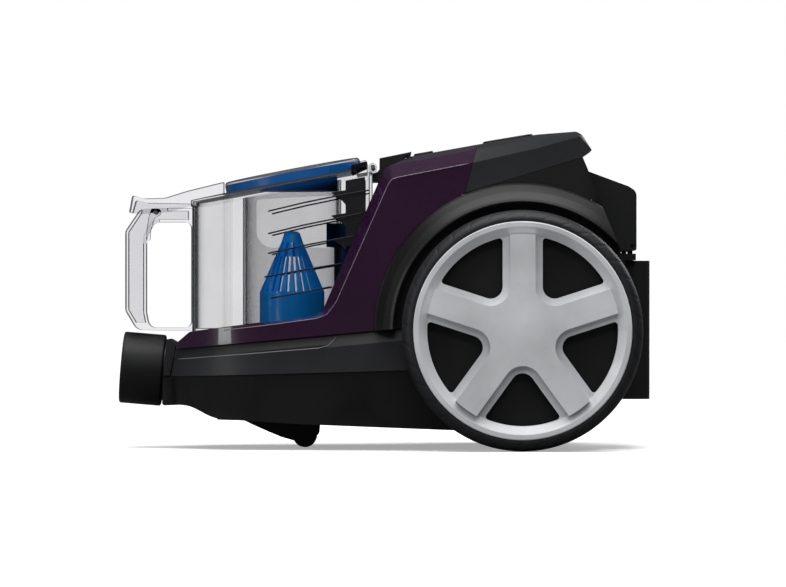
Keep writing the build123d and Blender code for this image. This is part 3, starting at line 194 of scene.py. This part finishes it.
def moulding(name, colour, roughness, grain=0.00003, grain_size=0.0007, wear=0.3, gloss=0.0, level=0.3):
    """Injection-moulded plastic: fine grain, faint flow marks and lighter corners."""
    paint, shader, place, tint = textured(name, colour)
    nodes, links = paint.node_tree.nodes, paint.node_tree.links
    corners = nodes.new("ShaderNodeNewGeometry")
    edge = nodes.new("ShaderNodeMapRange")
    edge.inputs["From Min"].default_value = 0.53
    edge.inputs["From Max"].default_value = 0.62
    edge.inputs["To Max"].default_value = wear
    links.new(corners.outputs["Pointiness"], edge.inputs["Value"])
    worn = nodes.new("ShaderNodeMix")
    worn.data_type = "RGBA"
    worn.inputs["B"].default_value = [min(c * 1.5 + 0.02, 1) for c in colour] + [1]
    links.new(edge.outputs["Result"], worn.inputs["Factor"])
    links.new(tint, worn.inputs["A"])
    links.new(worn.outputs["Result"], shader.inputs["Base Color"])
    grained(paint, shader, place, roughness, grain, grain_size)
    shader.inputs["Coat Weight"].default_value = gloss
    shader.inputs["Coat Roughness"].default_value = 0.04
    shader.inputs["Specular IOR Level"].default_value = level
    return paint


def finish_node(node, paint, edge_radius=0.0):
    """Gives a CAD piece its finish, and rounds its sharp corners by edge_radius."""
    piece = frame["nodes"][node]
    if not piece.data.materials:
        piece.data.materials.append(paint)
    for slot in piece.material_slots:
        slot.link = "OBJECT"
        slot.material = paint
    if edge_radius:
        weld = piece.modifiers.new("joined_faces", "WELD")
        weld.merge_threshold = 0.00001
        bevel = piece.modifiers.new("rounded_corners", "BEVEL")
        bevel.width = edge_radius
        bevel.segments = 2
        bevel.limit_method = "ANGLE"
        bevel.angle_limit = math.radians(38)
    return piece


black_plastic = moulding("black_plastic", (0.0042, 0.0044, 0.0048), 0.5, level=0.22)
finish_node("floor_pan", black_plastic)

# ---------------------------------------------------------------- belt
# The grey band between tub and top: a satin ABS moulding with a stepped field on each flank.
# It carries the bearing bosses of the rear wheels; a pale bead along the step's edge is a painted
# highlight.
charcoal_plastic = moulding("charcoal_plastic", (0.0145, 0.015, 0.0165), 0.4,
                            grain=0.00002, grain_size=0.0005, level=0.35)
finish_node("belt", charcoal_plastic)


def new_piece(name, points, faces, paint, body, slot, smooth=True):
    """A separate piece that rides on a body of the machine."""
    mesh = bpy.data.meshes.new(name)
    mesh.from_pydata(points, [], faces)
    mesh.validate()
    mesh.update()
    if smooth:
        mesh.shade_smooth()
    mesh.materials.append(paint)
    piece = bpy.data.objects.new(name, mesh)
    bpy.context.scene.collection.objects.link(piece)
    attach(piece, body)
    return piece


def cord_along(path, radius, sides=8):
    """Vertices and faces of a round bead that follows a path of Vectors."""
    points, faces = [], []
    for i, here in enumerate(path):
        before, after = path[max(i - 1, 0)], path[min(i + 1, len(path) - 1)]
        along = (after - before).normalized()
        across = along.cross(Vector((0, 1, 0))).normalized()
        upward = across.cross(along)
        for j in range(sides):
            turn = 2 * math.pi * j / sides
            points.append(here + radius * (math.cos(turn) * across + math.sin(turn) * upward))
    for i in range(len(path) - 1):
        for j in range(sides):
            a, b = i * sides + j, i * sides + (j + 1) % sides
            faces.append((a, b, b + sides, a + sides))
    faces.append(tuple(range(sides - 1, -1, -1)))
    faces.append(tuple(range(len(path) * sides - sides, len(path) * sides)))
    return points, faces


def spread_out(corners, step=0.004):
    """Points at even steps along a line of (x, z) corners."""
    line = []
    for (x1, z1), (x2, z2) in zip(corners, corners[1:]):
        count = max(int(math.hypot(x2 - x1, z2 - z1) / step), 1)
        line += [(x1 + (x2 - x1) * i / count, z1 + (z2 - z1) * i / count) for i in range(count)]
    return line + [corners[-1]]


def bead_on(node, name, corners, radius, paint, body, slot, sink=0.4):
    """A fine bead on both flanks of a CAD piece, laid along (x, z) corners given in millimetres."""
    source = frame["nodes"][node].data
    skin = BVHTree.FromPolygons([v.co for v in source.vertices], [p.vertices for p in source.polygons])
    for side, flank in ((-1, "right"), (1, "left")):
        path = []
        for x, z in spread_out([(x / 1000, z / 1000) for x, z in corners]):
            hit = skin.ray_cast(Vector((x, side * 0.3, z)), Vector((0, -side, 0)))[0]
            if hit:
                path.append(hit + Vector((0, side * radius * (1 - 2 * sink), 0)))
        new_piece(name + "_" + flank, *cord_along(path, radius), paint, body, slot)


# Pale grey bead along the belt's step: a painted highlight, not a polished surface.
step_highlight_paint = moulding("painted_step_highlight", (0.17, 0.17, 0.18), 0.3, grain=0.000004, level=0.5)
BELT_STEP = [(-156, 68.4), (-100, 72.9), (-48, 77.2), (-41, 79.2), (-37, 83.2), (-34.6, 86.4)]
BELT_BEAD_RADIUS = 0.0004
bead_on("belt", "belt_step_highlight", BELT_STEP, BELT_BEAD_RADIUS, step_highlight_paint, "chassis", "satin_charcoal")

# ---------------------------------------------------------------- upper casing
# Sill, arms and deck in one gloss aubergine ABS shell, polished in the mould and clear-coated.
# A fine ridge runs along its outer edge; a pale bead laid on it is a painted highlight.
aubergine = moulding("aubergine_gloss", (0.0215, 0.0016, 0.0215), 0.25,
                     grain=0.000002, grain_size=0.004, wear=0.1, gloss=0.8, level=0.4)
finish_node("upper_casing", aubergine)
# Pale pinkish bead on the casing's ridge: a painted highlight standing in for the light the edge catches.
painted_ridge_highlight = moulding("painted_ridge_highlight", (0.20, 0.15, 0.20), 0.25,
                       grain=0.000002, wear=0.1, gloss=0.6, level=0.5)
RIDGE = [
    (-120, 90.6), (-80, 95.4), (-50, 99.6), (-42, 102.6), (-35, 112), (-27, 130), (-18, 150.4),
    (-4.5, 181), (4.4, 201), (7.5, 204.8), (12, 206.2), (40, 211.6), (69, 217.2),
]
RIDGE_RADIUS = 0.00035
bead_on("upper_casing", "casing_ridge_highlight", RIDGE, RIDGE_RADIUS, painted_ridge_highlight, "chassis", "aubergine_gloss")

# ---------------------------------------------------------------- rear covers
# Top cover in satin grey over the reel, black housing under it, and the flared arches over the wheels.
# All four clip onto the casing and hide their screws.
finish_node("rear_top_cover", charcoal_plastic)
finish_node("rear_housing", black_plastic)
arch_plastic = moulding("arch_plastic", (0.0052, 0.0054, 0.0058), 0.4, grain=0.000015, level=0.28)
for side in ("left", "right"):
    finish_node("wheel_arch_" + side, arch_plastic)
finish_node("rear_bumper", black_plastic)
finish_node("exhaust_door", black_plastic)
finish_node("door_hinge_pins", black_plastic)

# ---------------------------------------------------------------- cord outlet and screws
# A moulded rubber bush lets the mains cord out, and six zinc-plated screws hold tub and belt together.
# The screws are driven from below.


def metal(name, colour, roughness, stretch=(1, 1, 1), depth=0.000004, size=0.0012):
    """Bare metal with fine marks, drawn out along one direction by stretch."""
    paint, shader, place, tint = textured(name, colour, spread=0.1, size=0.02)
    nodes, links = paint.node_tree.nodes, paint.node_tree.links
    pull = nodes.new("ShaderNodeMapping")
    pull.inputs["Scale"].default_value = stretch
    links.new(place, pull.inputs["Vector"])
    grained(paint, shader, pull.outputs["Vector"], roughness, depth, size, 0.35)
    shader.inputs["Metallic"].default_value = 1.0
    return paint


seal_rubber = moulding("seal_rubber", (0.011, 0.011, 0.0115), 0.68, grain=0.00002, level=0.3)
steel = metal("turned_steel", (0.56, 0.56, 0.57), 0.26, (1, 12, 1))
zinc = metal("zinc_plate", (0.50, 0.51, 0.54), 0.32)
finish_node("cord_outlet", seal_rubber)
finish_node("casing_screws", zinc)

# ---------------------------------------------------------------- bucket well
# Black tub behind the gloss arms in which the dust bucket stands, with the cup of the motor filter.
# Plain black ABS, half matte; a rubber ring in its floor seals the bucket's outlet.
finish_node("bucket_well", black_plastic)
finish_node("bucket_gasket", seal_rubber)

# ---------------------------------------------------------------- hose inlet
# A matte black collar that turns on a fixed grey neck; the hose cuff plugs into it.
# The duct behind runs under the bucket to its riser.
collar_plastic = moulding("collar_plastic", (0.0058, 0.006, 0.0066), 0.5, level=0.25)
finish_node("inlet_collar", collar_plastic, 0.0006)
finish_node("inlet_neck", charcoal_plastic)
finish_node("inlet_duct", black_plastic)

# ---------------------------------------------------------------- rear wheels
# Silver five-spoke rims with a black plate behind the spokes, each on a steel stub axle in an acetal
# bush. The soft tread is moulded round the rim, with slanted cuts on its rounded outer shoulder.
silver = moulding("silver_plastic", (0.66, 0.665, 0.68), 0.3,
                  grain=0.000004, grain_size=0.002, wear=0.12, gloss=0.25, level=0.45)
tread = moulding("tread_rubber", (0.0135, 0.014, 0.0155), 0.5, grain=0.00003, grain_size=0.0009, wear=0.2)
acetal = moulding("white_acetal", (0.60, 0.60, 0.585), 0.42)
record_joints = {joint["name"]: joint for joint in frame["record"]["behaviour"]["joints"]}
# outer form of the tread, from its outer side over the crown to its inner side: (radius, distance in)
TREAD_FORM = [
    (81.2, 2.3), (82.2, 1.0), (83.6, 0.6), (85.0, 0.95), (86.2, 1.6), (87.3, 2.5), (88.3, 3.6), (89.2, 5.0),
    (89.9, 6.6), (90.4, 8.4), (90.6, 10.5), (90.6, 13.0), (90.6, 16.0), (90.6, 19.0), (90.4, 21.0),
    (89.4, 22.8), (87.4, 24.3), (85.0, 25.2), (82.5, 25.3), (81.2, 24.4), (81.1, 13.0),
]
CUTS = 36
CUT_SLANT = math.radians(4.6)           # how far one cut runs round the tread
CUT_HALF_WIDTH = math.radians(0.26)
CUT_DEPTH = 0.9                         # in millimetres, as the tread form
CUT_FROM, CUT_RUN = 83.6, 6.0           # radius where a cut starts, and how far out it goes
TREAD_STEPS = 720


def cut_depth(turn, radius, inward):
    """How deep the slanted cuts are at one place of the tread."""
    run = (radius - CUT_FROM) / CUT_RUN
    if inward > 9.0 or not 0.0 <= run <= 1.0:
        return 0.0
    gap = (turn - run * CUT_SLANT) % (2 * math.pi / CUTS)
    gap = min(gap, 2 * math.pi / CUTS - gap)
    return CUT_DEPTH if gap < CUT_HALF_WIDTH else 0.0


for side, sign in (("left", 1), ("right", -1)):
    finish_node("wheel_rim_" + side, silver)
    finish_node("wheel_backplate_" + side, black_plastic)
    finish_node("axle_bush_" + side, acetal)
    finish_node("stub_axle_" + side, steel)
    centre = Vector(record_joints["wheel_" + side + "_spin"]["pos_m"])
    tyre_low, tyre_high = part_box("tyre_" + side)
    outer_side = tyre_high.y if sign > 0 else tyre_low.y
    points, faces = [], []
    rows = len(TREAD_FORM)
    for i in range(TREAD_STEPS):
        turn = 2 * math.pi * i / TREAD_STEPS
        for radius, inward in TREAD_FORM:
            depth = cut_depth(turn, radius, inward)
            r = (radius - depth * 0.8) / 1000
            y = outer_side - sign * (inward + 0.6 * depth - 0.6) / 1000
            points.append((centre.x + r * math.sin(turn), y, centre.z + r * math.cos(turn)))
    for i in range(TREAD_STEPS):
        for j in range(rows):
            a, b = i * rows + j, i * rows + (j + 1) % rows
            c, d = (a + rows) % (TREAD_STEPS * rows), (b + rows) % (TREAD_STEPS * rows)
            faces.append((a, b, d, c) if sign > 0 else (a, c, d, b))
    tyre = new_piece("tread_" + side, points, faces, tread, "wheel_" + side, "rubber")
    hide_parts("tyre_" + side)

# ---------------------------------------------------------------- front caster
# A black pod that trails on a vertical stem and holds a hard rubber roller on a steel pin.
# The stem turns in an acetal bush in the tub.
finish_node("caster_arm", black_plastic, 0.0004)
finish_node("caster_roller", seal_rubber)
finish_node("caster_axle", steel)
finish_node("caster_bush", acetal)

# ---------------------------------------------------------------- dust bucket
# Smoke-tinted clear polycarbonate bucket with its loop handle, moulded separately and welded on.
# Thick edges look almost black. Black guide ribs are printed along its sides.


def clear_plastic(name, tint, body, face_on, edge_on, sharpness=3.0):
    """Clear moulded plastic: see-through face on, dark and shiny where it turns away."""
    paint = bpy.data.materials.new(name)
    paint.use_nodes = True
    nodes, links = paint.node_tree.nodes, paint.node_tree.links
    gloss = nodes["Principled BSDF"]
    gloss.inputs["Base Color"].default_value = (*body, 1)
    gloss.inputs["Roughness"].default_value = 0.07
    gloss.inputs["IOR"].default_value = 1.5
    through = nodes.new("ShaderNodeBsdfTransparent")
    turn = nodes.new("ShaderNodeLayerWeight")
    turn.inputs["Blend"].default_value = 0.5
    steeper = nodes.new("ShaderNodeMath")
    steeper.operation = "POWER"
    steeper.inputs[1].default_value = sharpness
    links.new(turn.outputs["Facing"], steeper.inputs[0])
    amount = nodes.new("ShaderNodeMapRange")
    amount.inputs["To Min"].default_value = face_on
    amount.inputs["To Max"].default_value = edge_on
    links.new(steeper.outputs[0], amount.inputs["Value"])
    place = nodes.new("ShaderNodeTexCoord")
    ripple = nodes.new("ShaderNodeTexNoise")
    ripple.inputs["Scale"].default_value = 26.0
    ripple.inputs["Detail"].default_value = 2.0
    links.new(place.outputs["Object"], ripple.inputs["Vector"])
    haze = nodes.new("ShaderNodeValToRGB")
    haze.color_ramp.elements[0].position = 0.3
    haze.color_ramp.elements[1].position = 0.7
    haze.color_ramp.elements[0].color = [c * 0.985 for c in tint] + [1]
    haze.color_ramp.elements[1].color = [min(c * 1.01, 1) for c in tint] + [1]
    links.new(ripple.outputs["Fac"], haze.inputs["Fac"])
    links.new(haze.outputs["Color"], through.inputs["Color"])
    bump = nodes.new("ShaderNodeBump")
    bump.inputs["Distance"].default_value = 0.0002
    bump.inputs["Strength"].default_value = 0.5
    links.new(ripple.outputs["Fac"], bump.inputs["Height"])
    links.new(bump.outputs["Normal"], gloss.inputs["Normal"])
    mixed = nodes.new("ShaderNodeMixShader")
    links.new(amount.outputs["Result"], mixed.inputs[0])
    links.new(through.outputs[0], mixed.inputs[1])
    links.new(gloss.outputs[0], mixed.inputs[2])
    links.new(mixed.outputs[0], nodes["Material Output"].inputs[0])
    return paint


smoke = clear_plastic("smoke_polycarbonate", (0.945, 0.945, 0.95), (0.008, 0.008, 0.009), 0.03, 0.97)
clear = clear_plastic("clear_polycarbonate", (0.93, 0.93, 0.94), (0.008, 0.008, 0.009), 0.03, 0.98, 2.0)
finish_node("bucket_shell", smoke)
finish_node("bucket_handle", clear, 0.0008)
cyclone_clear = clear_plastic("cyclone_polycarbonate", (0.88, 0.88, 0.885), (0.01, 0.01, 0.011), 0.04, 0.97)
finish_node("cyclone_wall", cyclone_clear)
rib_black = moulding("rib_black", (0.004, 0.004, 0.0045), 0.5)
RIBS = [
    [(-87, 181), (-60, 187.5), (-33, 193), (-10.5, 197)],
    [(-87, 164), (-60, 170.5), (-33, 176), (-14, 180)],
    [(-87, 149), (-55, 156), (-20, 162.5)],
    [(-90, 131), (-60, 136.5), (-30, 141.5)],
    [(-85, 115), (-60, 119.5), (-40, 123.5)],
]
RIB_RADIUS = 0.0006
for number, corners in enumerate(RIBS, 1):
    name = "bucket_rib_%d" % number
    bead_on("bucket_shell", name, corners, RIB_RADIUS, rib_black, "dust_bucket", "satin_charcoal")
cover_black = moulding("hinge_cover_black", (0.006, 0.006, 0.0065), 0.3, grain=0.000006, level=0.4)
finish_node("hinge_cover", cover_black)
finish_node("bucket_pins", steel)

# ---------------------------------------------------------------- cyclone cone, riser and guide vanes
# The azure cone has moulded slots that keep fluff back, and the azure riser brings the air in.
# The vanes in the rear corners are charcoal ABS.
AZURE = (0.004, 0.24, 0.72)
azure = moulding("azure_plastic", AZURE, 0.32, grain=0.000004, wear=0.15, gloss=0.2, level=0.4)
# The azure plastic also glows faintly through its emission: painted light that lifts it behind the smoked
# wall.
azure_shader = azure.node_tree.nodes["Principled BSDF"]
azure_shader.inputs["Emission Color"].default_value = (*AZURE, 1)
azure_shader.inputs["Emission Strength"].default_value = 0.12
deep_azure = moulding("deep_azure_plastic", (0.002, 0.10, 0.36), 0.3,
                      grain=0.000004, wear=0.15, gloss=0.2, level=0.4)
finish_node("vortex_cone", azure)
finish_node("inlet_riser", deep_azure)
finish_node("side_louvres", charcoal_plastic)

# ---------------------------------------------------------------- lid
# Clear lid plate with the tab over the handle, the blue ring and clear disc of its turret, and a
# black bar behind its hinge upstands. All snap together; the lid turns on a steel pin.
finish_node("lid_plate", clear, 0.0006)
finish_node("lid_ring", deep_azure)
finish_node("lid_window", clear, 0.0006)
finish_node("cyclone_cap", deep_azure)
finish_node("lid_trigger", clear, 0.0004)
BAR_HALF_LENGTH = 0.049
BAR_OUTLINE = [(-0.0240, 0.2100), (-0.0240, 0.2172), (-0.0118, 0.2197), (-0.0118, 0.2157)]      # (x, z)
bar_points = [(x, y, z) for y in (-BAR_HALF_LENGTH, BAR_HALF_LENGTH) for x, z in BAR_OUTLINE]
bar_faces = [(0, 1, 2, 3), (7, 6, 5, 4), (0, 4, 5, 1), (1, 5, 6, 2), (2, 6, 7, 3), (3, 7, 4, 0)]
bar = new_piece("lid_hinge_bar", bar_points, bar_faces, rib_black,
                "bucket_lid", "matte_black", smooth=False)
softened = bar.modifiers.new("rounded_corners", "BEVEL")
softened.width = 0.0008
softened.segments = 2

# ---------------------------------------------------------------- buttons
# Black release button on the deck, satin grey power and rewind buttons on the rear cover.
# Each sits on a coil of spring wire.
finish_node("release_button", rib_black, 0.0003)
finish_node("power_button", charcoal_plastic, 0.0003)
finish_node("rewind_button", charcoal_plastic, 0.0003)
spring_wire = metal("spring_wire", (0.45, 0.45, 0.46), 0.24)
for node in ("release_spring", "power_spring", "rewind_spring"):
    finish_node(node, spring_wire)

# ---------------------------------------------------------------- motor, filters, reel and board
# White acetal and nylon housings, a wound and laminated motor core, a steel shaft with a pressed fan,
# a foam disc before the motor, a pleated fleece behind it, and a green laminate board.


def banded(name, colour, dark, pitch, direction, roughness=0.8):
    """Material in fine parallel layers, such as pleats or stacked sheets."""
    paint, shader, place, tint = textured(name, colour)
    nodes, links = paint.node_tree.nodes, paint.node_tree.links
    wave = nodes.new("ShaderNodeTexWave")
    wave.bands_direction = direction
    wave.inputs["Scale"].default_value = 0.314 / pitch
    wave.inputs["Distortion"].default_value = 0.4
    links.new(place, wave.inputs["Vector"])
    layers = nodes.new("ShaderNodeMix")
    layers.data_type = "RGBA"
    layers.inputs["B"].default_value = (*dark, 1)
    links.new(wave.outputs["Fac"], layers.inputs["Factor"])
    links.new(tint, layers.inputs["A"])
    links.new(layers.outputs["Result"], shader.inputs["Base Color"])
    grained(paint, shader, place, roughness, 0.00004, 0.0008)
    return paint


nylon = moulding("nylon", (0.58, 0.575, 0.55), 0.46)
finish_node("motor_casing", nylon)
wound_core = banded("wound_core", (0.20, 0.17, 0.14), (0.30, 0.10, 0.035), 0.0016, "X", 0.5)
finish_node("motor_stator", wound_core)
finish_node("motor_shaft", steel)
finish_node("impeller", metal("pressed_alloy", (0.62, 0.62, 0.63), 0.34))
finish_node("motor_mounts", seal_rubber)
foam, foam_shader, foam_place, _ = textured("filter_foam", (0.30, 0.30, 0.29), spread=0.3, size=0.002)
grained(foam, foam_shader, foam_place, 0.9, 0.0006, 0.0012)
finish_node("motor_filter", foam)
fleece = banded("pleated_fleece", (0.72, 0.72, 0.69), (0.42, 0.42, 0.40), 0.004, "Y", 0.9)
finish_node("exhaust_filter", fleece)
finish_node("reel_frame", nylon)
finish_node("cord_reel", nylon)
laminate = banded("board_laminate", (0.015, 0.12, 0.04), (0.03, 0.2, 0.07), 0.0025, "X", 0.4)
finish_node("control_board", laminate)
